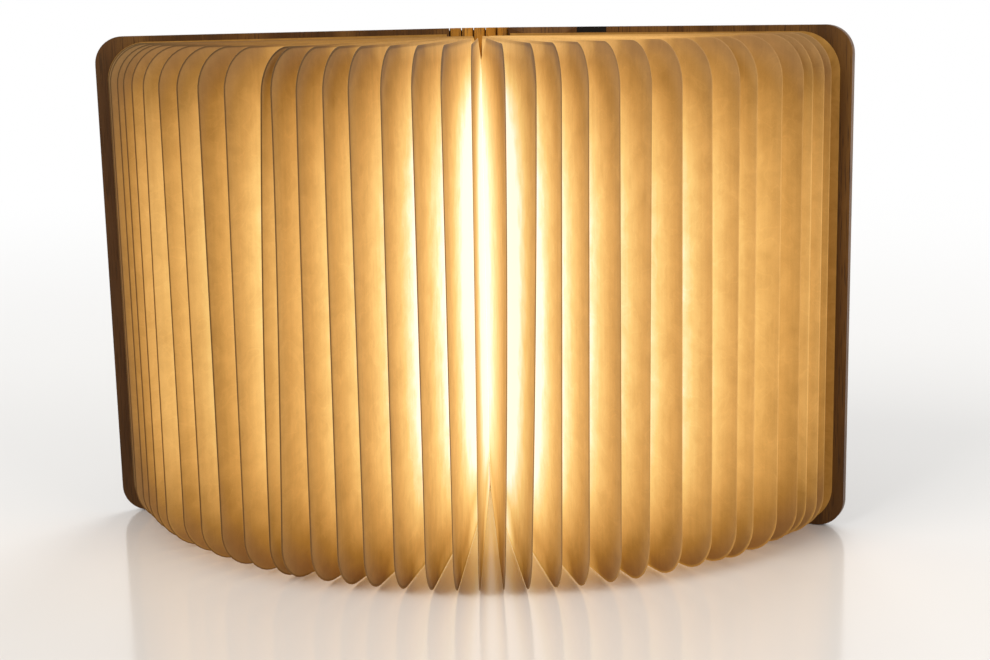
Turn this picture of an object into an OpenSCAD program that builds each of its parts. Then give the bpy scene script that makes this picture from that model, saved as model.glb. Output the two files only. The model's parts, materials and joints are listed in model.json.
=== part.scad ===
// Folding book lamp, shown standing open like a book.
// Two wooden covers and a spine of narrow slats are joined by flexures. Thirty-four paper
// leaves fan out in front of the spine, lit from behind by a light bar on the middle slat.
// Millimetres. Origin: centre of the middle slat's foot. +X to the right, +Z up,
// and the leaves open towards -Y. The right half is drawn, and the left half mirrors it.

/* [Covers] */
// Height of the covers and the spine slats
cover_h = 215; // [180:1:260]
// Width of a cover, from its flexure to its fore-edge
cover_w = 157; // [140:1:200]
// Thickness of the covers and the spine slats
board_t = 4; // [4:0.1:5]
// Radius of the covers' two outer corners
cover_corner_r = 12; // [4:0.5:18]
// Angle that each cover stands forward of flat when the lamp is open
cover_rake = 18.3; // [6:0.1:40]

/* [Spine] */
// Width of one spine slat, from flexure to flexure
slat_w = 5.5; // [5.4:0.1:6]
// Bevel on each slat edge, which lets the spine fold either way
edge_bevel = 17; // [16:0.5:20]
// Radius of the bead that each flexure turns on
bead_r = 0.6; // [0.4:0.05:0.7]
// Running clearance around the beads and their webs
bead_clear = 0.05; // [0.02:0.01:0.1]
// Depth of the web that anchors a bead in its slat
web_depth = 1.1; // [0.6:0.1:1.4]
// Thickness of that web
web_t = 0.3; // [0.2:0.05:0.5]

/* [Pages] */
// Thickness of one leaf, both panels pressed together
leaf_t = 0.3; // [0.2:0.02:0.34]
// Radius of a leaf's two outer corners
leaf_corner_r = 17; // [8:1:24]
// Distance from the fore-edge of a cover to the fore-edge of its leaves
page_margin = 5; // [3:0.5:10]
// Distance from the top of a cover to the top of the leaves
page_top_gap = 2.6; // [1:0.1:8]
// Distance from the foot of a cover to the foot of the leaves
page_foot_gap = 0.4; // [0.2:0.1:3]
// How far the inner fold stops short of the top of a leaf
fold_drop = 9; // [4:0.5:14]
// How far the inner fold stops short of the foot of a leaf
fold_rise = 4; // [2:0.5:8]

/* [Light bar] */
// Height of the strip of light on the middle slat
light_h = 186; // [150:1:186]
// Thickness of the circuit board that carries the chips
led_board_t = 0.8; // [0.6:0.1:1]
// Width of one light-emitting chip
chip_w = 2.2; // [1.6:0.1:2.8]
// Height of one light-emitting chip along the board
chip_h = 2.8; // [2:0.1:3.5]
// Thickness of one light-emitting chip
chip_t = 0.5; // [0.3:0.1:0.6]
// Pitch of the chips along the board
chip_pitch = 7.5; // [5:0.5:15]

/* [Electrics] */
// Width of the flat battery, along the cover
battery_w = 50; // [40:1:56]
// Height of the battery
battery_h = 80; // [60:1:86]
// Thickness of the battery
battery_t = 2.3; // [1.8:0.1:2.4]
// Width of the plastic bezel around the charging socket
bezel_w = 14; // [11:0.5:18]
// Depth of the bezel below the cover's top edge
bezel_h = 2.4; // [2:0.1:3.2]
// Width of the charging socket's shell
socket_w = 7.5; // [6.5:0.1:8.5]
// Thickness of the charging socket's shell
socket_t = 2.5; // [2:0.05:2.5]
// Length of the charging socket's shell
socket_len = 5.8; // [5:0.1:7]
// Radius of the disc magnets
magnet_r = 4; // [2.5:0.5:5]
// Thickness of the disc magnets
magnet_t = 2.4; // [1.5:0.1:2.6]

/* [Hidden] */
$fn = 64;
cut = 1;                                   // how far a cut runs past the face it opens
half_t = board_t / 2;

// Flexures. Links are counted outwards: 0 the middle slat, 1 and 2 the next two, 3 the cover.
closed_bend = 30;                          // turn of each flexure when the book is shut
rest_bend = cover_rake / 3;                // turn of each flexure as modelled
bevel_run = half_t * tan(edge_bevel);      // width of the bevel seen on a slat's face
groove_r = bead_r + bead_clear;

// Leaves, counted outwards from the middle, and how many each link carries
link_leaves = [5, 6, 4, 2];
side_leaves = 17;
// How far a leaf turns from a flat open book to a shut one, as [leaf, degrees], straight between.
// A leaf that turns 30 or 60 degrees stands fixed on its slat. The two fans sway a little.
right_fan = [[0, 3.8], [5, 30], [9, 50.6], [10, 56.4], [11, 60], [13, 74], [16, 84.5]];
left_fan = [[0, 1], [2, 12], [4, 22.2], [5, 25.2], [6, 30], [11, 60], [16, 84.5]];
sheet_t = leaf_t;                          // end sheet glued to each cover
closed_face_x = slat_w / 2 + slat_w * (cos(closed_bend) + cos(2 * closed_bend)) - half_t;
leaf_pitch = (closed_face_x - sheet_t / 2) / (side_leaves + 0.5);
leaf_foot = page_foot_gap;
leaf_top = cover_h - page_top_gap;
leaf_seat = leaf_t / 2 + 0.12;             // from a face to the axis of a leaf that turns on it
bar_bow = 0.12;                            // the roots lie on slight bows, so that a leaf
slat_bow = 0.75;                           // folded right back passes over the next root
outer_bow = 0.4;
outer_lift = 0.6;                          // keeps the last leaf of slat 5 off the slat's face
cover_root = 3;                            // first root on the cover, from its flexure
cover_root_step = 2;

// Light bar
bar_half_w = link_leaves[0] * leaf_pitch - 0.02;
diffuser_wall = 0.35;
diffuser_grip = 0.05;
diffuser_lap = 0.5;                        // how far the diffuser's legs lap the board
chip_room = 0.4;                           // air between the chips and the diffuser
led_board_w = 2 * (bar_half_w - diffuser_wall - diffuser_grip);
diffuser_inside_y = half_t + led_board_t + chip_t + chip_room;
bar_front = diffuser_inside_y + 0.4;
light_foot = (cover_h - light_h) / 2 - 2;
bar_end = 1.5;                             // board left bare beyond the diffuser

// Electrics in the right cover. h is measured from mid-thickness towards the pages.
pocket_floor = -half_t + 0.95;
lid_t = 0.4;
lid_lap = 3;
pocket_gap = 3;                            // room around the battery for its leads
inner_clear = 0.05;
bezel_s = 41;                              // middle of the bezel, from the flexure
board_w = 24;
board_h = 18;
circuit_t = 0.8;
battery_s = 50;
tunnel_len = 6;                            // from the bezel to the pocket
controller_top = cover_h - bezel_h - tunnel_len;
controller_h = board_h + 6;
pocket_top = controller_top - controller_h;
pocket_foot = pocket_top - battery_h - 2 * pocket_gap;
sensor_s = 112;
sensor_z = cover_h * 0.7;
sensor_len = 12;
sensor_r = 0.85;
lead_r = 0.25;
latch_s = cover_w - page_margin - magnet_r - 4;
latch_z = 32;

function two(i) = i < 10 ? str("0", i) : str(i);
leaf_numbers = [for (i = [1 : side_leaves]) two(i)];

// ---- Places ----

// Axis of the flexure outside link m, when every flexure is turned by bend
function flexure(m, bend) = m == 0 ? [slat_w / 2, 0]
    : flexure(m - 1, bend) + slat_w * [cos(m * bend), -sin(m * bend)];

// Draws its children in the frame of link m: along the link in +X, pages towards -Y
module on_link(m) {
    if (m == 0) children();
    else translate(flexure(m - 1, rest_bend)) rotate([0, 0, -m * rest_bend]) children();
}

// Turns a point of the shut book into the frame of link m
function into_link(m, point) = let (
        from = m == 0 ? [0, 0] : point - flexure(m - 1, closed_bend),
        turn = m * closed_bend
    ) m == 0 ? point
    : [from[0] * cos(turn) - from[1] * sin(turn), from[0] * sin(turn) + from[1] * cos(turn)];

// Depth behind which the inner face of link m starts at closed_x in the shut book
function seat_depth(m, closed_x) = let (
        axis = flexure(m - 1, closed_bend),
        turn = m * closed_bend,
        rise = half_t + leaf_seat,
        along = (closed_x - axis[0] + rise * sin(turn)) / cos(turn)
    ) -axis[1] + along * sin(turn) + rise * cos(turn);

function first_leaf(m) = m == 0 ? 0 : first_leaf(m - 1) + link_leaves[m - 1];
function link_of(k, m = 0) = k < first_leaf(m) + link_leaves[m] ? m : link_of(k, m + 1);
function closed_x(k) = (k + 0.5) * leaf_pitch;
function bowed(k, m, bow) = bow * (1 - pow((k - first_leaf(m)) / (link_leaves[m] - 1), 2));

// Depth of a leaf's root in the shut book
function root_depth(k) = let (m = link_of(k), last_x = closed_x(first_leaf(m) + link_leaves[m] - 1))
    m == 0 ? bar_front + leaf_seat + bowed(k, m, bar_bow)
    : m == 1 ? seat_depth(m, last_x) + bowed(k, m, slat_bow)
    : m == 2 ? seat_depth(m, last_x) + outer_lift + bowed(k, m, outer_bow)
    : -flexure(2, closed_bend)[1] + cover_root + cover_root_step * (k - first_leaf(m));

function leaf_root(k) = into_link(link_of(k), [closed_x(k), -root_depth(k)]);
fore_edge_depth = -flexure(2, closed_bend)[1] + cover_w - page_margin;
function leaf_len(k) = fore_edge_depth - root_depth(k);

// Lean of a leaf off straight ahead: nothing in the shut book, a fan in the open one
function leaf_lean(k, fan) = lookup(k, fan) * (1 - rest_bend / closed_bend);

// ---- Covers and spine ----

// Section of a link from s = 0 to s = w, bevelled at the flexures it meets
module link_section(w, outer_bevel = true) {
    end = outer_bevel ? bevel_run : 0;
    polygon([
        [0, 0], [bevel_run, -half_t], [w - end, -half_t],
        [w, 0], [w - end, half_t], [bevel_run, half_t]
    ]);
}

module bead_groove() {
    translate([0, 0, -cut]) cylinder(r = groove_r, h = cover_h + 2 * cut);
}

// Slot for a flexure's web, in the link on the -X side of the axis
module web_slot() {
    slot_t = web_t + 2 * bead_clear;
    slot_depth = web_depth + bead_r + bead_clear;
    translate([-slot_depth, -slot_t / 2, -cut]) cube([slot_depth, slot_t, cover_h + 2 * cut]);
}

// Glue ridge on slat m that seats the roots of its leaves. Its front lies just behind them.
module root_ridge(m) {
    first = first_leaf(m);
    last = first + link_leaves[m] - 1;
    back_off = leaf_seat * [-sin(m * closed_bend), cos(m * closed_bend)];
    bar_side = (bar_half_w + 0.12 - slat_w / 2 + half_t * sin(closed_bend)) / cos(closed_bend);
    inner = m == 1 ? bar_side : bevel_run + 0.2;
    outer = leaf_root(last)[0] + back_off[0] + (m - 1) * 0.15;
    translate([0, 0, leaf_foot + fold_rise])
        linear_extrude(leaf_top - fold_drop - leaf_foot - fold_rise)
            polygon(concat(
                [[inner, -half_t + 0.3], [inner, -half_t]],
                [for (k = [first : last]) leaf_root(k) + back_off],
                [[outer, -half_t], [outer, -half_t + 0.3]]
            ));
}

module slat(m) {
    color("goldenrod") on_link(m) difference() {
        union() {
            linear_extrude(cover_h) link_section(slat_w);
            root_ridge(m);
        }
        bead_groove();
        translate([slat_w, 0, 0]) {
            bead_groove();
            web_slot();
        }
    }
}

module middle_slat() {
    color("goldenrod") difference() {
        translate([-slat_w / 2, 0, 0]) linear_extrude(cover_h) link_section(slat_w);
        for (side = [0, 1]) mirror([side, 0, 0]) translate([slat_w / 2, 0, 0]) {
            bead_groove();
            web_slot();
        }
    }
}

// Flexure between link m and the next one out, anchored in link m
module hinge_film(m) {
    axis_s = m == 0 ? slat_w / 2 : slat_w;
    film_h = cover_h - 2;
    color("dimgray") on_link(m) translate([axis_s, 0, 1]) {
        cylinder(r = bead_r, h = film_h);
        translate([-bead_r - web_depth, -web_t / 2, 0]) cube([bead_r + web_depth, web_t, film_h]);
    }
}

// Outline of a cover's face: square at the spine, two round corners at the fore-edge
module cover_outline() {
    r = cover_corner_r;
    square([cover_w - r, cover_h]);
    translate([0, r]) square([cover_w, cover_h - 2 * r]);
    for (z = [r, cover_h - r]) translate([cover_w - r, z]) circle(r);
}

// Stands a flat drawing of (s, z) up in the cover's frame, from h = low to h = high
module stand_up(low, high) {
    translate([0, -low, 0]) rotate([90, 0, 0]) linear_extrude(high - low) children();
}

module plain_cover() {
    difference() {
        intersection() {
            linear_extrude(cover_h) link_section(cover_w, outer_bevel = false);
            stand_up(-half_t - cut, half_t + cut) cover_outline();
        }
        bead_groove();
    }
}

module latch_places() {
    for (z = [latch_z, cover_h - latch_z]) translate([latch_s, z]) children();
}

module magnet_pockets() {
    stand_up(half_t - magnet_t - inner_clear, half_t + cut) children();
}

module cover_left() {
    color("saddlebrown") mirror([1, 0, 0]) on_link(3) difference() {
        plain_cover();
        magnet_pockets() {
            latch_places() circle(magnet_r + inner_clear);
            translate([sensor_s, sensor_z]) circle(magnet_r + inner_clear);
        }
    }
}

module cover_right() {
    color("saddlebrown") on_link(3) difference() {
        plain_cover();
        magnet_pockets() latch_places() circle(magnet_r + inner_clear);
        stand_up(pocket_floor, half_t + cut) pocket_outline();
        stand_up(half_t - lid_t, half_t + cut) offset_lid(inner_clear);
        // Tunnel for the socket, and the notch that the bezel fills
        stand_up(pocket_floor, half_t - lid_t)
            translate([bezel_s - socket_w / 2 - 0.2, controller_top - 0.1])
                square([socket_w + 0.4, tunnel_len + 0.2]);
        stand_up(-half_t - cut, half_t + cut)
            translate([bezel_s - bezel_w / 2, cover_h - bezel_h]) square([bezel_w, bezel_h + cut]);
        // Grooves for the leads to the reed sensor and to the light bar
        stand_up(half_t - 2 * sensor_r - 0.4, half_t + cut)
            translate([battery_s, sensor_z - sensor_r - 0.1])
                square([sensor_s + sensor_len / 2 + 3 - battery_s, 2 * sensor_r + 0.2]);
        stand_up(half_t - 1, half_t + cut)
            translate([-cut, controller_top - 6]) square([bezel_s, 1.6]);
    }
}

// ---- Pages ----

// Outline of a leaf: root at x = 0, fore-edge at x = len, inner corners cut back to the fold
module leaf_outline(len) {
    r = leaf_corner_r;
    difference() {
        union() {
            translate([0, leaf_foot]) square([len - r, leaf_top - leaf_foot]);
            translate([0, leaf_foot + r]) square([len, leaf_top - leaf_foot - 2 * r]);
            for (z = [leaf_foot + r, leaf_top - r]) translate([len - r, z]) circle(r);
        }
        polygon([[-cut, leaf_top + cut], [-cut, leaf_top - fold_drop], [0, leaf_top - fold_drop],
            [fold_drop / 3, leaf_top], [fold_drop / 3, leaf_top + cut]]);
        polygon([[-cut, leaf_foot - cut], [-cut, leaf_foot + fold_rise], [0, leaf_foot + fold_rise],
            [fold_rise / 2, leaf_foot], [fold_rise / 2, leaf_foot - cut]]);
    }
}

module leaf(k, fan) {
    m = link_of(k);
    color("wheat") on_link(m)
        translate(leaf_root(k)) rotate([0, 0, leaf_lean(k, fan) + m * rest_bend]) {
            rotate([90, 0, -90]) translate([0, 0, -leaf_t / 2])
                linear_extrude(leaf_t) leaf_outline(leaf_len(k));
            translate([0, 0, leaf_foot + fold_rise])
                cylinder(r = leaf_t / 2, h = leaf_top - fold_drop - leaf_foot - fold_rise);
        }
}

module end_sheet() {
    r = leaf_corner_r;
    w = cover_w - page_margin;
    start = bevel_run + 1;
    color("tan") on_link(3) stand_up(half_t, half_t + sheet_t) {
        translate([start, leaf_foot]) square([w - r - start, leaf_top - leaf_foot]);
        translate([w - r - 1, leaf_foot + r]) square([r + 1, leaf_top - leaf_foot - 2 * r]);
        for (z = [leaf_foot + r, leaf_top - r]) translate([w - r, z]) circle(r);
    }
}

// ---- Light bar ----

module led_board() {
    color("white") translate([-led_board_w / 2, -half_t - led_board_t, light_foot])
        cube([led_board_w, led_board_t, light_h]);
}

module leds() {
    count = floor((light_h - 2 * bar_end - chip_h) / chip_pitch);
    start = light_foot + light_h / 2 - count * chip_pitch / 2;
    color("lightyellow") for (i = [0 : count])
        translate([-chip_w / 2, -half_t - led_board_t - chip_t, start + i * chip_pitch - chip_h / 2])
            cube([chip_w, chip_t, chip_h]);
}

module light_diffuser() {
    back_y = half_t + led_board_t - diffuser_lap;
    inside_w = bar_half_w - diffuser_wall;
    color("snow") translate([0, 0, light_foot + bar_end]) linear_extrude(light_h - 2 * bar_end)
        polygon([
            [-bar_half_w, -back_y], [-bar_half_w, -bar_front], [bar_half_w, -bar_front],
            [bar_half_w, -back_y], [inside_w, -back_y], [inside_w, -diffuser_inside_y],
            [-inside_w, -diffuser_inside_y], [-inside_w, -back_y]
        ]);
}

// ---- Electrics ----

module latch_disc() {
    stand_up(half_t - magnet_t, half_t) circle(magnet_r);
}

module latch_magnets() {
    color("silver") on_link(3) for (z = [latch_z, cover_h - latch_z])
        translate([latch_s, 0, z]) latch_disc();
}

module sensor_magnet() {
    color("silver") on_link(3) translate([sensor_s, 0, sensor_z]) latch_disc();
}

module pocket_outline() {
    translate([battery_s - battery_w / 2 - pocket_gap, pocket_foot])
        square([battery_w + 2 * pocket_gap, pocket_top - pocket_foot]);
    translate([bezel_s - board_w / 2 - 1, pocket_top - 1])
        square([board_w + 2, controller_h + 1]);
}

// The lid laps the battery pocket all round, and clear sets how loose its rebate is
module offset_lid(clear) {
    side = pocket_gap + lid_lap + clear;
    translate([battery_s - battery_w / 2 - side, pocket_foot - lid_lap - clear])
        square([battery_w + 2 * side, controller_top - pocket_foot + lid_lap + 2 + 2 * clear]);
}

module pocket_lid() {
    color("peru") on_link(3) stand_up(half_t - lid_t, half_t) offset_lid(0);
}

module battery() {
    tab_w = 14;
    tab_h = 2.4;
    tab_t = 1.2;
    on_link(3) translate([battery_s, -pocket_floor - inner_clear, pocket_foot + pocket_gap]) {
        color("silver") translate([-battery_w / 2, -battery_t, 0])
            cube([battery_w, battery_t, battery_h]);
        color("gold") translate([-tab_w / 2, -tab_t, battery_h]) cube([tab_w, tab_t, tab_h]);
    }
}

module controller_board() {
    socket_back = cover_h - 0.3 - socket_len;
    neck_w = socket_w - 0.2;
    on_link(3) translate([bezel_s, -pocket_floor - inner_clear, controller_top - board_h - 0.5]) {
        color("darkgreen") translate([-board_w / 2, -circuit_t, 0]) cube([board_w, circuit_t, board_h]);
        color("darkgreen") translate([-neck_w / 2, -circuit_t, board_h - 1])
            cube([neck_w, circuit_t, socket_back - controller_top + 1.5 - inner_clear]);
        color("black") {
            translate([-3, -circuit_t - 0.8, 7]) cube([5, 0.8, 5]);
            translate([5, -circuit_t - 1, 8]) cube([4, 1, 4]);
            translate([-10, -circuit_t - 1.2, 1]) cube([6, 1.2, 4]);
            translate([3, -circuit_t - 0.9, 1]) cube([6, 0.9, 4]);
        }
    }
}

// Flat-sided metal shell, open at the top, with a contact tongue inside
module charging_socket() {
    shell_wall = 0.3;
    tongue_w = 3.8;
    tongue_t = 0.6;
    centre_h = (pocket_floor + half_t - lid_t) / 2;
    on_link(3) translate([bezel_s, -centre_h, cover_h - 0.3 - socket_len]) {
        color("gainsboro") difference() {
            translate([-socket_w / 2, -socket_t / 2, 0]) cube([socket_w, socket_t, socket_len]);
            translate([-socket_w / 2 + shell_wall, -socket_t / 2 + shell_wall, shell_wall])
                cube([socket_w - 2 * shell_wall, socket_t - 2 * shell_wall, socket_len]);
        }
        color("black") translate([-tongue_w / 2, -tongue_t / 2, 0])
            cube([tongue_w, tongue_t, socket_len - 1]);
    }
}

module socket_bezel() {
    centre_h = (pocket_floor + half_t - lid_t) / 2;
    slot_w = socket_w + 2 * inner_clear;
    slot_t = socket_t + 2 * inner_clear;
    color("black") on_link(3) translate([bezel_s, 0, cover_h - bezel_h]) difference() {
        translate([-bezel_w / 2, -half_t, 0]) cube([bezel_w, board_t, bezel_h]);
        translate([-slot_w / 2, -centre_h - slot_t / 2, -cut]) cube([slot_w, slot_t, bezel_h + 2 * cut]);
    }
}

// Glass switch that wakes the lamp when the magnet in the other cover moves away
module reed_sensor() {
    color("lightcyan") on_link(3)
        translate([sensor_s, -half_t + sensor_r + 0.3, sensor_z]) rotate([0, 90, 0]) {
            cylinder(r = sensor_r, h = sensor_len, center = true);
            cylinder(r = lead_r, h = sensor_len + 4, center = true);
        }
}

// ---- Nodes ----

module on_left() {
    mirror([1, 0, 0]) children();
}

on_left() slat(2);  // slat_1
on_left() slat(1);  // slat_2
middle_slat();  // slat_3
slat(1);  // slat_4
slat(2);  // slat_5
on_left() hinge_film(2);  // hinge_film_1
on_left() hinge_film(1);  // hinge_film_2
on_left() hinge_film(0);  // hinge_film_3
hinge_film(0);  // hinge_film_4
hinge_film(1);  // hinge_film_5
hinge_film(2);  // hinge_film_6
cover_right();
cover_left();
end_sheet();  // end_sheet_right
on_left() end_sheet();  // end_sheet_left
latch_magnets();  // latch_magnets_right
on_left() {  // latch_magnets_left
    latch_magnets();
    sensor_magnet();
}
battery();
pocket_lid();
controller_board();
charging_socket();
socket_bezel();
reed_sensor();
led_board();
leds();
light_diffuser();
for (k = [0 : side_leaves - 1]) {
    leaf(k, right_fan);
    on_left() leaf(k, left_fan);
}
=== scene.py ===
import json
import math
from functools import partial
import bpy
import bmesh
from mathutils import Matrix, Vector

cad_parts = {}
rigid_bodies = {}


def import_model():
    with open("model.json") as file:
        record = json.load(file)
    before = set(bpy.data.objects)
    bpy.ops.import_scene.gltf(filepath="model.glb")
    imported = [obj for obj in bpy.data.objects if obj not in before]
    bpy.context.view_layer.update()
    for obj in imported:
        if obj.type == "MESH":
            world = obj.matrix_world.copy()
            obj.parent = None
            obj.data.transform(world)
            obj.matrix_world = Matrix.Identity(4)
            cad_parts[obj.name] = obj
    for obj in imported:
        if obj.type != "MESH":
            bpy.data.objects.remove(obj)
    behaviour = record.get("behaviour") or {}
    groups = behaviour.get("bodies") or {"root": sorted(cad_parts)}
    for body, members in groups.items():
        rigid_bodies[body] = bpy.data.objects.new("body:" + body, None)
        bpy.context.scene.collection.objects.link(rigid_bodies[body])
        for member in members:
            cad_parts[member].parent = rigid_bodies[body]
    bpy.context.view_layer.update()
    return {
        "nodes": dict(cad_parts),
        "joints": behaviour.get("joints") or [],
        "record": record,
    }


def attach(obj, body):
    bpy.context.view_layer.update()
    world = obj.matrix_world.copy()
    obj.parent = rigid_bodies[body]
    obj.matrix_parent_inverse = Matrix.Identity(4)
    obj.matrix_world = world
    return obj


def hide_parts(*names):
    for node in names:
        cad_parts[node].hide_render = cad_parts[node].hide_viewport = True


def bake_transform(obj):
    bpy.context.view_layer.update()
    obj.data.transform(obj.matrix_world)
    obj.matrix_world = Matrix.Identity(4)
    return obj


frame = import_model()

mm = 0.001
print("frame loaded,", len(frame["nodes"]), "nodes")


cameraSettings = {
    "focalPixels": 1702.81, "imagePixels": 990,
    "sensorWidth": 36.0,
    "clip": (0.01, 50),
    "place": (0.11264, -0.77326, 0.23283),
    "heading": 7.984,                  # degrees, turned left of straight ahead
    "tilt": 78.616,
    "roll": -1.1686,
}


def makeCamera(s):
    data = bpy.data.cameras.new("viewCamera")
    camera = bpy.data.objects.new("viewCamera", data)
    bpy.context.scene.collection.objects.link(camera)
    data.sensor_fit = "HORIZONTAL"
    data.sensor_width = s["sensorWidth"]
    data.lens = s["focalPixels"] * s["sensorWidth"] / s["imagePixels"]
    data.clip_start, data.clip_end = s["clip"]
    turn = (Matrix.Rotation(math.radians(s["heading"]), 4, "Z")
            @ Matrix.Rotation(math.radians(s["tilt"]), 4, "X")
            @ Matrix.Rotation(math.radians(s["roll"]), 4, "Z"))
    camera.matrix_world = Matrix.Translation(s["place"]) @ turn
    bpy.context.scene.camera = camera


makeCamera(cameraSettings)
print("camera set")


def newMaterial(name):
    material = bpy.data.materials.new(name)
    material.use_nodes = True
    return material, material.node_tree, material.node_tree.nodes["Principled BSDF"]


def addNode(tree, kind, **values):
    node = tree.nodes.new(kind)
    for key, value in values.items():
        setattr(node, key, value)
    return node


def setInputs(node, **values):
    for key, value in values.items():
        node.inputs[key.replace("_", " ")].default_value = value


def mathNode(tree, kind, *values, clamp=False):
    # each value is a number or the output of a node
    node = addNode(tree, "ShaderNodeMath", operation=kind, use_clamp=clamp)
    for socket, value in zip(node.inputs, values):
        if isinstance(value, (int, float)):
            socket.default_value = value
        else:
            tree.links.new(value, socket)
    return node.outputs[0]


def mathTools(tree):
    return [partial(mathNode, tree, kind) for kind in ("ADD", "SUBTRACT", "MULTIPLY")]


def makeRamp(tree, value, stops, mode="LINEAR"):
    node = addNode(tree, "ShaderNodeValToRGB")
    node.color_ramp.interpolation = mode
    elements = node.color_ramp.elements
    for place, colour in stops[2:]:
        elements.new(place)
    for index, (place, colour) in enumerate(stops):
        elements[index].position = place
        elements[index].color = (*colour, 1)
    tree.links.new(value, node.inputs[0])
    return node.outputs[0]


def greyRamp(tree, value, stops, mode="LINEAR"):
    return makeRamp(tree, value, [(place, (grey,) * 3) for place, grey in stops], mode)


def mapRange(tree, value, source, target=(0.0, 1.0), kind="LINEAR"):
    node = addNode(tree, "ShaderNodeMapRange", interpolation_type=kind)
    for name, end in zip(("From Min", "From Max", "To Min", "To Max"), (*source, *target)):
        node.inputs[name].default_value = end
    tree.links.new(value, node.inputs["Value"])
    return node.outputs[0]


def mapVector(tree, vector, **values):
    node = addNode(tree, "ShaderNodeMapping")
    setInputs(node, **values)
    tree.links.new(vector, node.inputs["Vector"])
    return node.outputs[0]


def makeNoise(tree, vector, numbers, seed=None):
    # numbers are the scale, detail, roughness and distortion
    node = addNode(tree, "ShaderNodeTexNoise", noise_dimensions="3D" if seed is None else "4D")
    setInputs(node, **dict(zip(("Scale", "Detail", "Roughness", "Distortion"), numbers)))
    tree.links.new(vector, node.inputs["Vector"])
    if seed is not None:
        tree.links.new(seed, node.inputs["W"])
    return node.outputs[0]


def makeBump(tree, shader, height, strength, distance):
    node = addNode(tree, "ShaderNodeBump")
    setInputs(node, Strength=strength, Distance=distance)
    tree.links.new(height, node.inputs["Height"])
    tree.links.new(node.outputs[0], shader.inputs["Normal"])


def makeGlow(tree, shader, colour, strength=1.0):
    tree.links.new(colour, shader.inputs["Emission Color"])
    setInputs(shader, Emission_Strength=strength)


def readAttribute(tree, name):
    node = addNode(tree, "ShaderNodeAttribute", attribute_name=name)
    return node.outputs["Fac"]


def splitVector(tree, vector):
    node = addNode(tree, "ShaderNodeSeparateXYZ")
    tree.links.new(vector, node.inputs[0])
    return node.outputs


def splitAttribute(tree, name):
    node = addNode(tree, "ShaderNodeAttribute", attribute_name=name)
    return splitVector(tree, node.outputs["Vector"])


def deselectAll():
    if bpy.context.object and bpy.context.object.mode != "OBJECT":
        bpy.ops.object.mode_set(mode="OBJECT")
    bpy.ops.object.select_all(action="DESELECT")


def selectOnly(piece):
    deselectAll()
    piece.select_set(True)
    bpy.context.view_layer.objects.active = piece


def startEdit(piece, mode):
    selectOnly(piece)
    bpy.ops.object.mode_set(mode="EDIT")
    bpy.ops.mesh.select_mode(type=mode)
    bpy.ops.mesh.select_all(action="DESELECT")


def pickVertices(piece, test):
    mesh = bmesh.from_edit_mesh(piece.data)
    for vertex in mesh.verts:
        vertex.select_set(test(vertex))
    mesh.select_flush_mode()
    bmesh.update_edit_mesh(piece.data)


def endEdit():
    bpy.ops.object.mode_set(mode="OBJECT")


def applyModifiers(piece):
    selectOnly(piece)
    for modifier in list(piece.modifiers):
        bpy.ops.object.modifier_apply(modifier=modifier.name)


def paint(piece, material):
    piece.data.materials.clear()
    piece.data.materials.append(material)


paperSettings = {
    # painted shade: the sheet's base colour is a dark tan, darker than the white sheet itself
    "shadedSheetColour": (0.34, 0.205, 0.080),
    "surface": {"Roughness": 0.72, "Specular_IOR_Level": 0.22, "Sheen_Weight": 0.08},
    "glowStops": [                     # painted glow: level of the lamp's light that seems to come through the sheet
        (0.0, (0.0, 0.0, 0.0)), (0.10, (0.045, 0.013, 0.0)), (0.20, (0.17, 0.080, 0.008)),
        (0.29, (0.305, 0.160, 0.034)), (0.37, (0.42, 0.230, 0.058)), (0.50, (0.57, 0.345, 0.103)),
        (0.66, (0.70, 0.505, 0.175)), (0.83, (0.84, 0.70, 0.38)), (1.0, (0.97, 0.90, 0.78)),
    ],
    "heightStops": [                   # share of the height to light left
        (0.0, 0.16), (0.04, 0.30), (0.10, 0.60), (0.17, 0.82), (0.27, 0.96), (0.45, 1.0), (0.62, 1.0),
        (0.72, 0.95), (0.79, 0.87), (0.88, 0.68), (0.95, 0.41), (1.0, 0.16),
    ],
    "depthToHeight": 0.7295,           # depth of a leaf as a share of its height
    "mostRuns": 1.8,                   # the light rises no further beyond this many runs
    "fadeRuns": (0.04, 0.26),          # a leaf that brightens over a short run fades faster
    "fadePower": (1.25, 1.0),          # towards its head and foot
    "near": (0.06, 0.22),              # shares of the depth over which the light gets strong
    "deep": (0.14, 0.50),
    "nearHead": 0.34, "deepFoot": 0.58,  # least light left there at the head and the foot
    "deepFootHeight": 0.7,             # height in depths where the least light of the foot ends
    "seamFade": 0.45,                  # share of the seam's shadow lost there
    "shadowStops": [(0.0, 1.0), (0.45, 1.0), (0.62, 0.24), (1.0, 0.0)],
    "rimStops": [(0.0, 1.0), (0.10, 1.0), (0.22, 0.0)],
    "footStops": [(0.0, 1.0), (0.07, 1.0), (0.13, 0.0)],
    "footGlowRim": 0.09,                   # painted pale line of glow along the foot of the seam
    "seamInColour": 0.75,              # how much of the seam's painted shadow is also painted into the sheet's own colour
    "clouds": (15.0, 4.0, 0.55, 0.3),  # noises: scale, detail, roughness, distortion
    "streaks": (1.3, 3.0, 0.6, 0.2), "streakStretch": (60, 3.0, 1), "streakShare": 0.45,
    "fibres": (300.0, 3.0, 0.6, 1.8), "fibreShare": 0.55,
    "folds": (9.0, 2.0, 0.45, 1.2),
    "foldStops": [(0.45, 0.0), (0.495, 1.0), (0.51, 0.1), (0.56, 0.4)], "foldMiddle": 0.3,
    "mottle": 0.40, "crease": 0.05,    # strength of both in the light
    "bump": 0.5, "fibreDepth": 0.00006,
}
widestSeam, widestReach = 2.5, 5.0     # mm at which the two seam attributes are 1


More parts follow.
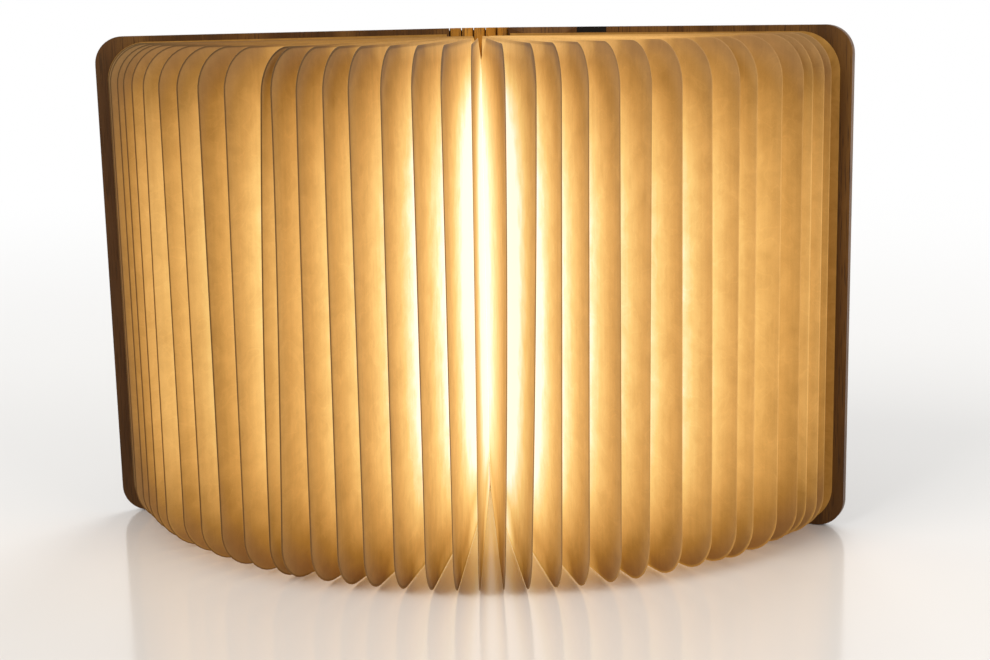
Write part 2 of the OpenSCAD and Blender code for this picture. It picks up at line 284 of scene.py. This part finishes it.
def paperMaterial(name, s):
    material, tree, shader = newMaterial(name)
    add, subtract, multiply = mathTools(tree)
    setInputs(shader, **s["surface"])
    place = addNode(tree, "ShaderNodeUVMap", uv_map="leafMap").outputs[0]
    outward, upward = splitVector(tree, place)[:2]
    seed, seam = (readAttribute(tree, key) for key in ("leafSeed", "seamDistance"))
    run, edgeLevel, deepLevel = splitAttribute(tree, "leafTune")
    seamWide, seamLight, farLight = splitAttribute(tree, "seamTune")

    # soft clouds, long streaks and fine crossed fibres, as in spun-bonded sheet, and a few folds
    clouds, fibres, folds = (makeNoise(tree, place, s[key], seed)
                             for key in ("clouds", "fibres", "folds"))
    streaks = makeNoise(tree, mapVector(tree, place, Scale=s["streakStretch"]), s["streaks"], seed)
    mix = add(clouds, multiply(streaks, s["streakShare"]))
    mix = add(mix, multiply(fibres, s["fibreShare"]))
    crease = subtract(greyRamp(tree, folds, s["foldStops"]), s["foldMiddle"])
    mottle = add(multiply(subtract(mix, 1.0), s["mottle"]), multiply(crease, s["crease"]))
    mottle = add(mottle, 1.0)

    # painted light: the glow of each leaf brightens from its outer edge inwards, and fades towards its
    # head and foot
    inward = subtract(1.0, outward)
    near, deep = (mapRange(tree, inward, s[key], kind="SMOOTHSTEP") for key in ("near", "deep"))
    runs = mathNode(tree, "MINIMUM", mathNode(tree, "DIVIDE", inward, run), s["mostRuns"])
    rise = add(multiply(subtract(deepLevel, edgeLevel), runs), edgeLevel)
    rise = add(rise, multiply(deep, farLight))
    height = greyRamp(tree, multiply(upward, s["depthToHeight"]), s["heightStops"], "B_SPLINE")
    fade = mapRange(tree, run, s["fadeRuns"], s["fadePower"])
    heightLight = mathNode(tree, "POWER", height, fade)
    atFoot = mapRange(tree, upward, (0.0, s["deepFootHeight"]), (s["deepFoot"], 0.0))
    least = mathNode(tree, "MAXIMUM", multiply(near, s["nearHead"]), multiply(deep, atFoot))
    heightLight = mathNode(tree, "MAXIMUM", heightLight, least)
    level = multiply(multiply(rise, heightLight), mottle)

    # painted seam shadow: the two plies of the welded seam pass less light; where the seam's light is
    # over 1 it is a painted pale line
    shadow = greyRamp(tree, mathNode(tree, "DIVIDE", seam, seamWide), s["shadowStops"])
    shadow = multiply(shadow, subtract(1.0, multiply(near, s["seamFade"])))
    seamShadeAndLine = subtract(1.0, multiply(shadow, subtract(1.0, seamLight)))
    rim = multiply(greyRamp(tree, seam, s["rimStops"]), greyRamp(tree, upward, s["footStops"]))
    level = add(multiply(level, seamShadeAndLine), multiply(rim, s["footGlowRim"]), clamp=True)
    makeGlow(tree, shader, makeRamp(tree, level, s["glowStops"]))

    # the painted seam shadow also darkens the base colour
    tone = addNode(tree, "ShaderNodeHueSaturation")
    setInputs(tone, Color=(*s["shadedSheetColour"], 1))
    seamShadeInBase = add(multiply(seamShadeAndLine, s["seamInColour"]), 1.0 - s["seamInColour"])
    tree.links.new(multiply(mottle, seamShadeInBase), tone.inputs["Value"])
    tree.links.new(tone.outputs[0], shader.inputs["Base Color"])
    makeBump(tree, shader, mix, s["bump"], s["fibreDepth"])
    return material


leafPaper = paperMaterial("leafPaper", paperSettings)
print("paper ready")


leafSettings = {
    "depth": 155.0, "foot": 0.4, "top": 212.4,
    "cornerRadius": 17.0, "cornerSteps": 10,
    "headSlope": 1.0,                  # how much lower the head is at the root
    "foldDrop": 4.0, "foldDropRun": 3.0,     # inner corner cut back to the fold, at the head
    "foldRise": 4.0, "foldRiseRun": 2.0,     # and at the foot
    "seamWidth": 1.2,
    "puffed": 0.42, "pressed": 0.14,         # thickness over the pocket and in the seam
    "puffRun": 14.0,                         # from the seam to full thickness
    "columns": 12, "rows": 14,
    "mergeWithin": 0.02, "smoothAngle": 40,
    "outerShare": 0.9,                       # the outer corners lie beyond this share of the depth
}
leavesPerSide = 17
# the leaves in the middle open further
middleSettings = {"foldDrop": 11.6, "foldDropRun": 44.0, "lastMiddle": 3}

# For each leaf, counted outwards: depth over which its painted glow brightens in mm, glow level
# at its edge and at that depth, and width of the painted dark seam in mm.
leafLight = {
    "right": [(58, 0.34, 1.0, 1.2), (90, 0.38, 1.2, 1.2), (120, 0.26, 1.0, 1.3), (46, 0.30, 1.0, 1.1),
              (38, 0.30, 1.0, 1.0), (32, 0.24, 0.88, 0.8), (25, 0.22, 0.76, 0.6), (20, 0.28, 0.72, 0.45),
              (16, 0.24, 0.66, 0.35), (14, 0.30, 0.73, 0.3), (12, 0.29, 0.64, 0.3),
              (10, 0.34, 0.62, 0.3), (10, 0.33, 0.51, 0.3), (9, 0.27, 0.41, 0.3), (6, 0.40, 0.42, 0.3),
              (6, 0.33, 0.40, 0.3), (6, 0.24, 0.26, 0.3)],
    "left": [(53, 0.32, 1.0, 1.1), (37, 0.25, 0.98, 1.0), (27, 0.26, 0.70, 0.9), (22, 0.25, 0.70, 0.8),
             (18, 0.22, 0.64, 0.7), (15, 0.26, 0.50, 0.6), (13, 0.30, 0.66, 0.6), (13, 0.24, 0.58, 0.5),
             (11, 0.20, 0.44, 0.5), (9, 0.34, 0.60, 0.45), (8, 0.28, 0.50, 0.4), (7, 0.42, 0.54, 0.4),
             (6, 0.36, 0.47, 0.4), (6, 0.23, 0.40, 0.4), (6, 0.20, 0.30, 0.4), (6, 0.16, 0.24, 0.4),
             (6, 0.12, 0.18, 0.4)],
}
# Painted light left in the seam of each leaf: under 1 a painted shadow, over 1 a painted pale
# line; and painted light added deep inside.
seamLight = {
    "right": [0.30, 0.30, 0.34, 0.40, 0.48, 0.66, 0.80, 0.95] + [1.18] * 9,
    "left": [0.30] * 5 + [0.22] * 12,
}
farLight = {
    "right": [0.0, 0.0, 0.0, 0.0, 0.1, 0.2] + [0.25] * 11,
    "left": [0.0, 0.0, 0.1, 0.2] + [0.30] * 13,
}

# How far the lean of a leaf is eased at its head and at its foot, in degrees, towards that of
# what carries it.
leafEase = {
    "right": [(0, 0), (0.2, 0.8), (0, 1.4), (0.1, 2.0), (1.0, 1.9), (2.2, 2.8), (2.1, 2.3), (1.6, 2.2),
              (1.1, 1.0), (0.4, 0), (0, 0), (0, 0), (0, 0), (0, 0), (0, 0), (0, 0), (0, 0)],
    "left": [(0, 0), (0.3, 0), (0.2, 0), (0.7, 0.1), (0.9, 0), (0, 2.0), (2.6, 0), (0.6, 0), (0, 0),
             (0, 0), (0, 0), (0.9, 0), (0.3, 0), (0, 0), (0, 0), (0, 0), (0, 0)],
}


def outlineDistance(u, z, s):
    # distance in from the outline of a leaf, at u mm from the root and height z
    deep, low = s["depth"] - u, z - s["foot"]
    high = s["top"] - s["headSlope"] * deep / s["depth"] - z
    r = s["cornerRadius"]
    reach = min(deep, high, low)
    side = min(high, low)
    if deep < r and side < r:
        reach = r - math.hypot(r - deep, r - side)
    return max(0.0, reach)


def makeLeafSheet(s):
    # one flat leaf in the plane x = 0, root on the Z axis, reaching to -Y
    deselectAll()
    middle = (s["foot"] + s["top"]) / 2
    bpy.ops.mesh.primitive_plane_add(size=1, location=(0, -s["depth"] / 2 * mm, middle * mm),
                                     rotation=(0, math.radians(90), 0))
    sheet = bpy.context.object
    sheet.name = "leafSheet"
    sheet.scale = ((s["top"] - s["foot"]) * mm, s["depth"] * mm, 1)
    bpy.ops.object.transform_apply(location=True, rotation=True, scale=True)

    startEdit(sheet, "VERT")
    pickVertices(sheet, lambda v: v.co.y < -s["depth"] * s["outerShare"] * mm)
    bpy.ops.mesh.bevel(offset_type="OFFSET", offset=s["cornerRadius"] * mm,
                       segments=s["cornerSteps"], profile=0.5, affect="VERTICES")
    for foldZ, edgeZ, run in ((s["top"] - s["headSlope"], s["top"], s["depth"]),
                              (s["top"] - s["foldDrop"], s["top"], s["foldDropRun"]),
                              (s["foot"] + s["foldRise"], s["foot"], s["foldRiseRun"])):
        bpy.ops.mesh.select_all(action="SELECT")
        rise = edgeZ - foldZ
        slope = Vector((0, -rise, -run)) if rise > 0 else Vector((0, rise, run))
        bpy.ops.mesh.bisect(plane_co=(0, 0, foldZ * mm), plane_no=slope.normalized(),
                            clear_inner=True)
    bpy.ops.mesh.select_mode(type="FACE")
    bpy.ops.mesh.select_all(action="SELECT")
    bpy.ops.mesh.inset(thickness=s["seamWidth"] * mm, depth=0)
    for i in range(1, s["columns"]):
        bpy.ops.mesh.select_all(action="SELECT")
        bpy.ops.mesh.bisect(plane_co=(0, -s["depth"] * mm * i / s["columns"], 0), plane_no=(0, 1, 0))
    tall = s["top"] - s["foot"]
    for i in range(1, s["rows"]):
        bpy.ops.mesh.select_all(action="SELECT")
        bpy.ops.mesh.bisect(plane_co=(0, 0, (s["foot"] + tall * i / s["rows"]) * mm), plane_no=(0, 0, 1))
    bpy.ops.mesh.select_all(action="SELECT")
    bpy.ops.mesh.remove_doubles(threshold=s["mergeWithin"] * mm)
    bpy.ops.mesh.normals_make_consistent(inside=False)
    endEdit()

    mesh = sheet.data
    puff = sheet.vertex_groups.new(name="puff")
    inside = [outlineDistance(-v.co.y / mm, v.co.z / mm, s) for v in mesh.vertices]
    for index, reach in enumerate(inside):
        t = min(1.0, max(0.0, (reach - s["seamWidth"]) / s["puffRun"]))
        puff.add([index], math.sin(t * math.pi / 2), "REPLACE")
    leafMap = mesh.uv_layers.new(name="leafMap")
    for loop in mesh.loops:
        co = mesh.vertices[loop.vertex_index].co
        leafMap.data[loop.index].uv = (-co.y / mm / s["depth"], co.z / mm / s["depth"])
    seamDistance = mesh.attributes.new("seamDistance", "FLOAT", "POINT")
    seamDistance.data.foreach_set("value", [min(reach / widestReach, 1.0) for reach in inside])
    solid = sheet.modifiers.new("pocket", "SOLIDIFY")
    solid.thickness = s["puffed"] * mm
    solid.offset = 0
    solid.vertex_group = "puff"
    solid.thickness_vertex_group = s["pressed"] / s["puffed"]
    applyModifiers(sheet)
    sheet.vertex_groups.clear()
    selectOnly(sheet)
    bpy.ops.object.shade_smooth_by_angle(angle=math.radians(s["smoothAngle"]))
    return sheet


placeSettings = {
    "endBand": 0.2,                    # points this near an end in mm make up the root or the tip
    "rootGap": 0.1,                    # from the root of the solid to that of the sheet, in mm
}


def leafPlace(node, s):
    # root and tip of a CAD leaf, seen from above
    points = [Vector((v.co.x, v.co.y)) for v in frame["nodes"][node].data.vertices]
    way = max(points, key=lambda p: p.length).normalized()
    for step in range(2):
        along = [p.dot(way) for p in points]
        far, near = max(along), min(along)
        tips = [p for p, a in zip(points, along) if a > far - s["endBand"] * mm]
        roots = [p for p, a in zip(points, along) if a < near + s["endBand"] * mm]
        tip = sum(tips, Vector((0, 0))) / len(tips)
        root = sum(roots, Vector((0, 0))) / len(roots)
        way = (tip - root).normalized()
    return root + way * s["rootGap"] * mm, tip, way


jointOf = {joint["child"]: joint for joint in frame["joints"]}
bodyOfNode = {node: body for body, nodes in frame["record"]["behaviour"]["bodies"].items()
              for node in nodes}


def addAttribute(mesh, name, kind, values):
    layer = mesh.attributes.new(name, kind, "POINT")
    layer.data.foreach_set("value" if kind == "FLOAT" else "vector", values * len(mesh.vertices))


def turnAbout(point, centre, angle):
    c, s = math.cos(angle), math.sin(angle)
    x, y = point.x - centre.x, point.y - centre.y
    point.x, point.y = centre.x + c * x - s * y, centre.y + s * x + c * y


def smoothInverse(share):
    # the t at which the smooth step t * t * (3 - 2 * t) reaches this share
    return 0.5 - math.sin(math.asin(1 - 2 * share) / 3)


seedStep, sideSeed = 3.7, {"right": 0.0, "left": 61.3}
mostEase = 0.62                        # of the gap between a leaf and what carries it


def placeLeaf(sheet, side, number, s, ease):
    node = f"leaf_{side}_{number:02d}"
    body = bodyOfNode[node]
    root, tip, way = leafPlace(node, placeSettings)
    mesh = sheet.data.copy()
    leaf = bpy.data.objects.new(f"paperLeaf_{side}_{number:02d}", mesh)
    bpy.context.scene.collection.objects.link(leaf)
    lean = math.atan2(way.x, -way.y)
    mesh.transform(Matrix.Translation((root.x, root.y, 0)) @ Matrix.Rotation(lean, 4, "Z")
                   @ Matrix.Diagonal((1, (tip - root).length / (s["depth"] * mm), 1, 1)))
    addAttribute(mesh, "leafSeed", "FLOAT", [number * seedStep + sideSeed[side]])
    run, edgeLevel, deepLevel, seamWide = leafLight[side][number - 1]
    addAttribute(mesh, "seamTune", "FLOAT_VECTOR",
                 [seamWide / widestSeam, seamLight[side][number - 1], farLight[side][number - 1]])
    addAttribute(mesh, "leafTune", "FLOAT_VECTOR", [run / s["depth"], edgeLevel, deepLevel])
    paint(leaf, leafPaper)

    # An eased leaf is bent at rest, from its own lean towards that of what carries it, and is baked
    # in place without a body.
    outward = 1 if side == "right" else -1
    joint = jointOf[body]
    centre, carrier = Vector(joint["pos_m"][:2]), joint["parent"]
    if any(ease):
        gap = abs(math.degrees(lean)) - carrierLeans[carrier]
        atHead, atFoot = (smoothInverse(min(mostEase, e / abs(gap))) for e in ease)
        rise = atHead - atFoot
        low, tall = s["foot"] * mm, (s["top"] - s["foot"]) * mm
        start, end = (low + tall * (edge - atFoot) / rise for edge in (0, 1))
        for vertex in mesh.vertices:
            k = min(1.0, max(0.0, (vertex.co.z - start) / (end - start)))
            turnAbout(vertex.co, centre, -outward * math.radians(gap) * k * k * (3 - 2 * k))
        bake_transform(leaf)
    else:
        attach(leaf, body)
    mesh.update()
    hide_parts(node)


# lean at rest of what the bodies that carry leaves would hold flat in the shut book
hingeTurn = 30 - 6.1                   # from rest to shut, at each of the three joints of a side
carrierLeans = {"spine": 0.0}
for side in ("right", "left"):
    for count, carrier in enumerate((f"inner_slat_{side}", f"outer_slat_{side}", f"cover_{side}_board")):
        carrierLeans[carrier] = (count + 1) * hingeTurn

leafSheet = makeLeafSheet(leafSettings)
middleSheet = makeLeafSheet({**leafSettings, **middleSettings})
for side in ("right", "left"):
    for number in range(1, leavesPerSide + 1):
        sheet = middleSheet if number <= middleSettings["lastMiddle"] else leafSheet
        placeLeaf(sheet, side, number, leafSettings, leafEase[side][number - 1])
for sheet in (leafSheet, middleSheet):
    bpy.data.objects.remove(sheet)
print(2 * leavesPerSide, "leaves placed")


def woodMaterial(name, s):
    material, tree, shader = newMaterial(name)
    add, subtract, multiply = mathTools(tree)
    setInputs(shader, **s["surface"])
    coords = addNode(tree, "ShaderNodeTexCoord")
    place = mapVector(tree, coords.outputs["Object"], Rotation=(0, 0, s["turn"]), Location=s["shift"])

    # growth rings seen as long cathedral figures, stretched along the height
    figure = mapVector(tree, place, Scale=(1.0, 1.0, s["figureStretch"]))
    warp = makeNoise(tree, figure, (s["figureScale"] * s["warpScale"], *s["warp"]))
    wave = mathNode(tree, "SINE", multiply(warp, s["rings"]))
    wave = add(multiply(wave, 0.5), 0.5)
    streak = makeNoise(tree, figure, (s["figureScale"] * s["streakScale"], *s["streaks"]))
    tone = add(multiply(wave, s["waveShare"]), multiply(streak, s["streakShare"]))
    tone = subtract(tone, s["toneDrop"])
    pores = makeNoise(tree, mapVector(tree, place, Scale=(1.0, 1.0, s["poreStretch"])), s["pores"])
    poreMask = greyRamp(tree, pores, s["poreStops"])

    colour = makeRamp(tree, tone, s["tones"])
    if "backTones" in s:               # painted light: faces inside the spine take the paler golden tones of the lamp's light, the outside of the spine the darker walnut tones
        backward = splitVector(tree, coords.outputs["Normal"])["Y"]
        sides = addNode(tree, "ShaderNodeMix", data_type="RGBA", blend_type="MIX")
        tree.links.new(greyRamp(tree, backward, s["backStops"]), sides.inputs[0])
        tree.links.new(colour, sides.inputs[6])
        tree.links.new(makeRamp(tree, tone, s["backTones"]), sides.inputs[7])
        colour = sides.outputs[2]
    poreMix = addNode(tree, "ShaderNodeMix", data_type="RGBA", blend_type="MIX")
    tree.links.new(poreMask, poreMix.inputs[0])
    poreMix.inputs[6].default_value = (*s["pore"], 1)
    tree.links.new(colour, poreMix.inputs[7])
    tree.links.new(poreMix.outputs[2], shader.inputs["Base Color"])
    rough = mapRange(tree, poreMask, (0.0, 1.0), (s["rough"] + s["poreRough"], s["rough"]))
    tree.links.new(rough, shader.inputs["Roughness"])
    makeBump(tree, shader, add(poreMask, multiply(tone, s["toneRelief"])), s["bump"], s["poreDepth"])
    return material


walnutTones = [(0.0, (0.055, 0.021, 0.004)), (0.35, (0.098, 0.040, 0.008)),
               (0.7, (0.150, 0.066, 0.014)), (1.0, (0.200, 0.095, 0.022))]
# painted light: paler golden tones for slat faces lit by the lamp
lampLitGoldenTones = [(0.0, (0.28, 0.12, 0.012)), (0.4, (0.44, 0.20, 0.024)),
               (0.75, (0.56, 0.28, 0.042)), (1.0, (0.66, 0.36, 0.065))]
rake = math.radians(18.3)
grainSettings = {
    "surface": {"Specular_IOR_Level": 0.18, "Coat_Weight": 0.03, "Coat_Roughness": 0.45},
    "figureStretch": 0.09, "poreStretch": 0.03,
    "warpScale": 0.55, "warp": (3.0, 0.55, 0.3),       # noises: detail, roughness, distortion
    "streakScale": 6, "streaks": (5.0, 0.65),
    "waveShare": 0.55, "streakShare": 0.75, "toneDrop": 0.15,
    "pores": (1900.0, 2.0, 0.7, 0.1), "poreStops": [(0.36, 0.0), (0.47, 1.0)],
    "poreRough": 0.14, "toneRelief": 0.6, "bump": 0.35, "poreDepth": 0.00012,
}
coverSettings = {**grainSettings, "tones": walnutTones, "pore": (0.060, 0.026, 0.007),
                 "figureScale": 30.0, "rings": 34.0, "rough": 0.38}
woodSettings = {
    "coverRightWood": {**coverSettings, "turn": rake, "shift": (0, 0, 0)},
    "coverLeftWood": {**coverSettings, "turn": -rake, "shift": (0.31, 0.07, 0.4)},
    "slatWood": {**grainSettings, "turn": 0.0, "shift": (0.6, 0.2, 0.1), "tones": lampLitGoldenTones,
                 "pore": (0.11, 0.050, 0.012), "figureScale": 60.0, "rings": 22.0, "rough": 0.36,
                 "backTones": walnutTones, "backStops": [(0.25, 0.0), (0.65, 1.0)]},
}
woods = {name: woodMaterial(name, s) for name, s in woodSettings.items()}


plainSettings = {"scale": 900.0, "grain": (4.0, 0.6), "metal": 0.0, "shine": 0.5,
                 "bump": 0.2, "bumpDepth": 0.00005}


def plainMaterial(name, s):
    # a finish with mottled colour, its own roughness and a little bump
    s = {**plainSettings, **s}
    material, tree, shader = newMaterial(name)
    place = addNode(tree, "ShaderNodeTexCoord")
    grain = makeNoise(tree, place.outputs["Object"], (s["scale"], *s["grain"]))
    low, high = s["colours"]
    colour = makeRamp(tree, grain, [(0.3, low), (0.7, high)])
    tree.links.new(colour, shader.inputs["Base Color"])
    tree.links.new(mapRange(tree, grain, (0.0, 1.0), s["rough"]), shader.inputs["Roughness"])
    setInputs(shader, Metallic=s["metal"], Specular_IOR_Level=s["shine"])
    makeBump(tree, shader, grain, s["bump"], s["bumpDepth"])
    if "glow" in s:
        makeGlow(tree, shader, colour, s["glow"])
    return material


finishSettings = {
    "filmBlack": {"colours": ((0.020, 0.013, 0.009), (0.045, 0.030, 0.020)), "rough": (0.5, 0.7),
                  "shine": 0.2},
    "nickel": {"colours": ((0.60, 0.60, 0.61), (0.74, 0.74, 0.75)), "rough": (0.18, 0.34), "metal": 1.0},
    "pouchFoil": {"colours": ((0.52, 0.52, 0.54), (0.66, 0.66, 0.68)), "rough": (0.3, 0.45),
                  "metal": 0.9, "scale": 160.0, "bump": 0.5},
    "boardGreen": {"colours": ((0.012, 0.085, 0.035), (0.020, 0.120, 0.050)), "rough": (0.3, 0.45)},
    "boardWhite": {"colours": ((0.72, 0.72, 0.68), (0.84, 0.84, 0.80)), "rough": (0.4, 0.5)},
    "chipYellow": {"colours": ((0.90, 0.66, 0.26), (1.0, 0.80, 0.42)), "rough": (0.25, 0.35),
                   "glow": 1.5},
    "opal": {"colours": ((1.0, 0.88, 0.62), (1.0, 0.94, 0.74)), "rough": (0.4, 0.5), "glow": 1.1},
    "shellMetal": {"colours": ((0.55, 0.55, 0.56), (0.68, 0.68, 0.69)), "rough": (0.25, 0.4),
                   "metal": 1.0},
    "bezelBlack": {"colours": ((0.007, 0.006, 0.005), (0.013, 0.011, 0.009)), "rough": (0.55, 0.7),
                   "shine": 0.12},
    "glassTube": {"colours": ((0.35, 0.50, 0.46), (0.45, 0.60, 0.56)), "rough": (0.05, 0.12)},
}
finishes = {name: plainMaterial(name, s) for name, s in finishSettings.items()}


endSheetSettings = {
    "surface": {"Roughness": 0.75, "Specular_IOR_Level": 0.2},
    "clouds": (150.0, 5.0, 0.6, 0.8),
    "colours": [(0.3, (0.25, 0.138, 0.034)), (0.7, (0.33, 0.186, 0.050))],
    # painted light: the end sheet glows with the lamp's light
    "glows": [(0.3, (0.092, 0.035, 0.003)), (0.7, (0.122, 0.049, 0.006))],
    "bump": 0.4, "depth": 0.00006,
}


def endSheetMaterial(s):
    material, tree, shader = newMaterial("endSheetPaper")
    setInputs(shader, **s["surface"])
    place = addNode(tree, "ShaderNodeTexCoord")
    clouds = makeNoise(tree, place.outputs["Object"], s["clouds"])
    tree.links.new(makeRamp(tree, clouds, s["colours"]), shader.inputs["Base Color"])
    makeGlow(tree, shader, makeRamp(tree, clouds, s["glows"]))
    makeBump(tree, shader, clouds, s["bump"], s["depth"])
    return material


endSheetPaper = endSheetMaterial(endSheetSettings)


def finishOf(node):
    if node.startswith("cover_"):
        return woods["coverRightWood" if node.endswith("right") else "coverLeftWood"]
    if node.startswith("slat_"):
        return woods["slatWood"]
    if node.startswith("hinge_film"):
        return finishes["filmBlack"]
    if node.startswith("end_sheet"):
        return endSheetPaper
    return {
        "latch_magnets_right": finishes["nickel"], "latch_magnets_left": finishes["nickel"],
        "battery": finishes["pouchFoil"], "pocket_lid": woods["coverRightWood"],
        "controller_board": finishes["boardGreen"], "charging_socket": finishes["shellMetal"],
        "socket_bezel": finishes["bezelBlack"], "reed_sensor": finishes["glassTube"],
        "led_board": finishes["boardWhite"], "leds": finishes["chipYellow"],
        "light_diffuser": finishes["opal"],
    }[node]


softEdges = {                          # bevel width in mm on CAD nodes that show
    "cover_right": 0.5, "cover_left": 0.5,
    "slat_1": 0.22, "slat_2": 0.22, "slat_3": 0.22, "slat_4": 0.22, "slat_5": 0.22,
    "socket_bezel": 0.2,
}
edgeSettings = {"mergeWithin": 0.005, "segments": 2, "sharpFrom": 34}
for node, solid in frame["nodes"].items():
    if node.startswith("leaf_"):
        continue
    if not solid.material_slots:
        solid.data.materials.append(finishOf(node))
    for slot in solid.material_slots:
        slot.material = finishOf(node)
    if node in softEdges:
        seamShadeAndLine = solid.modifiers.new("seamShadeAndLine", "WELD")
        seamShadeAndLine.merge_threshold = edgeSettings["mergeWithin"] * mm
        bevel = solid.modifiers.new("softEdge", "BEVEL")
        bevel.width = softEdges[node] * mm
        bevel.segments = edgeSettings["segments"]
        bevel.limit_method = "ANGLE"
        bevel.angle_limit = math.radians(edgeSettings["sharpFrom"])
print("finishes on")


roomSettings = {
    "floorColour": (0.84, 0.83, 0.81), "floorSize": 8.0, "floorGloss": 0.12, "floorDrop": 0.0002,
    "floorClouds": (3.0, 2.0), "cloudDepth": 0.99,
    "floorFade": (0.25, 1.3),          # metres from the middle, where the floor turns to white
    "worldColour": (1.0, 0.99, 0.98, 1), "worldLight": 0.55,
    "aim": (0, -0.05, 0.1),
    "lamps": [                         # name, place, size, watts, colour
        ("keyLamp", (-1.1, -1.5, 1.5), 1.1, 22.0, (1.0, 0.98, 0.95)),
        ("fillLamp", (1.5, -1.1, 1.0), 1.2, 11.0, (1.0, 0.98, 0.96)),
        ("backLamp", (0.3, 1.4, 1.3), 1.0, 12.0, (0.97, 0.98, 1.0)),
    ],
}


def makeFloor(s):
    deselectAll()
    bpy.ops.mesh.primitive_plane_add(size=s["floorSize"], location=(0, 0, -s["floorDrop"]))
    floor = bpy.context.object
    floor.name = "paleFloor"
    material, tree, shader = newMaterial("floorPale")
    setInputs(shader, Roughness=s["floorGloss"])
    place = addNode(tree, "ShaderNodeTexCoord").outputs["Object"]
    low = tuple(value * s["cloudDepth"] for value in s["floorColour"])
    clouds = makeNoise(tree, place, s["floorClouds"])
    tone = makeRamp(tree, clouds, [(0.3, low), (0.7, s["floorColour"])])
    tree.links.new(tone, shader.inputs["Base Color"])
    rays = addNode(tree, "ShaderNodeLightPath")
    seen = mathNode(tree, "MAXIMUM", rays.outputs["Is Camera Ray"], rays.outputs["Is Glossy Ray"])
    away = addNode(tree, "ShaderNodeVectorMath", operation="LENGTH")
    tree.links.new(place, away.inputs[0])
    fade = mapRange(tree, away.outputs["Value"], s["floorFade"], kind="SMOOTHSTEP")
    glow = addNode(tree, "ShaderNodeEmission")
    blank = addNode(tree, "ShaderNodeMixShader")
    tree.links.new(mathNode(tree, "MULTIPLY", fade, seen), blank.inputs[0])
    tree.links.new(shader.outputs[0], blank.inputs[1])
    tree.links.new(glow.outputs[0], blank.inputs[2])
    tree.links.new(blank.outputs[0], tree.nodes["Material Output"].inputs["Surface"])
    paint(floor, material)


def makeWorld(s):
    # white where it is seen, and softer where it lights the lamp
    world = bpy.data.worlds.new("softRoom")
    bpy.context.scene.world = world
    world.use_nodes = True
    tree = world.node_tree
    tree.nodes.clear()
    light, white = (addNode(tree, "ShaderNodeBackground") for step in range(2))
    setInputs(light, Color=s["worldColour"], Strength=s["worldLight"])
    setInputs(white, Color=(1, 1, 1, 1), Strength=1.0)
    rays = addNode(tree, "ShaderNodeLightPath")
    seen = mathNode(tree, "MAXIMUM", rays.outputs["Is Glossy Ray"], rays.outputs["Is Transmission Ray"])
    seen = mathNode(tree, "MAXIMUM", rays.outputs["Is Camera Ray"], seen)
    mix = addNode(tree, "ShaderNodeMixShader")
    tree.links.new(seen, mix.inputs[0])
    tree.links.new(light.outputs[0], mix.inputs[1])
    tree.links.new(white.outputs[0], mix.inputs[2])
    out = addNode(tree, "ShaderNodeOutputWorld")
    tree.links.new(mix.outputs[0], out.inputs[0])


def makeLamps(s):
    for name, place, size, watts, colour in s["lamps"]:
        data = bpy.data.lights.new(name, "AREA")
        data.size, data.energy, data.color = size, watts, colour
        lamp = bpy.data.objects.new(name, data)
        lamp.location = place
        lamp.visible_glossy = False
        lamp.rotation_mode = "QUATERNION"
        lamp.rotation_quaternion = (Vector(s["aim"]) - Vector(place)).to_track_quat("-Z", "Y")
        bpy.context.scene.collection.objects.link(lamp)


makeFloor(roomSettings)
makeWorld(roomSettings)
makeLamps(roomSettings)
bpy.context.scene.view_settings.view_transform = "Standard"
print("room ready")
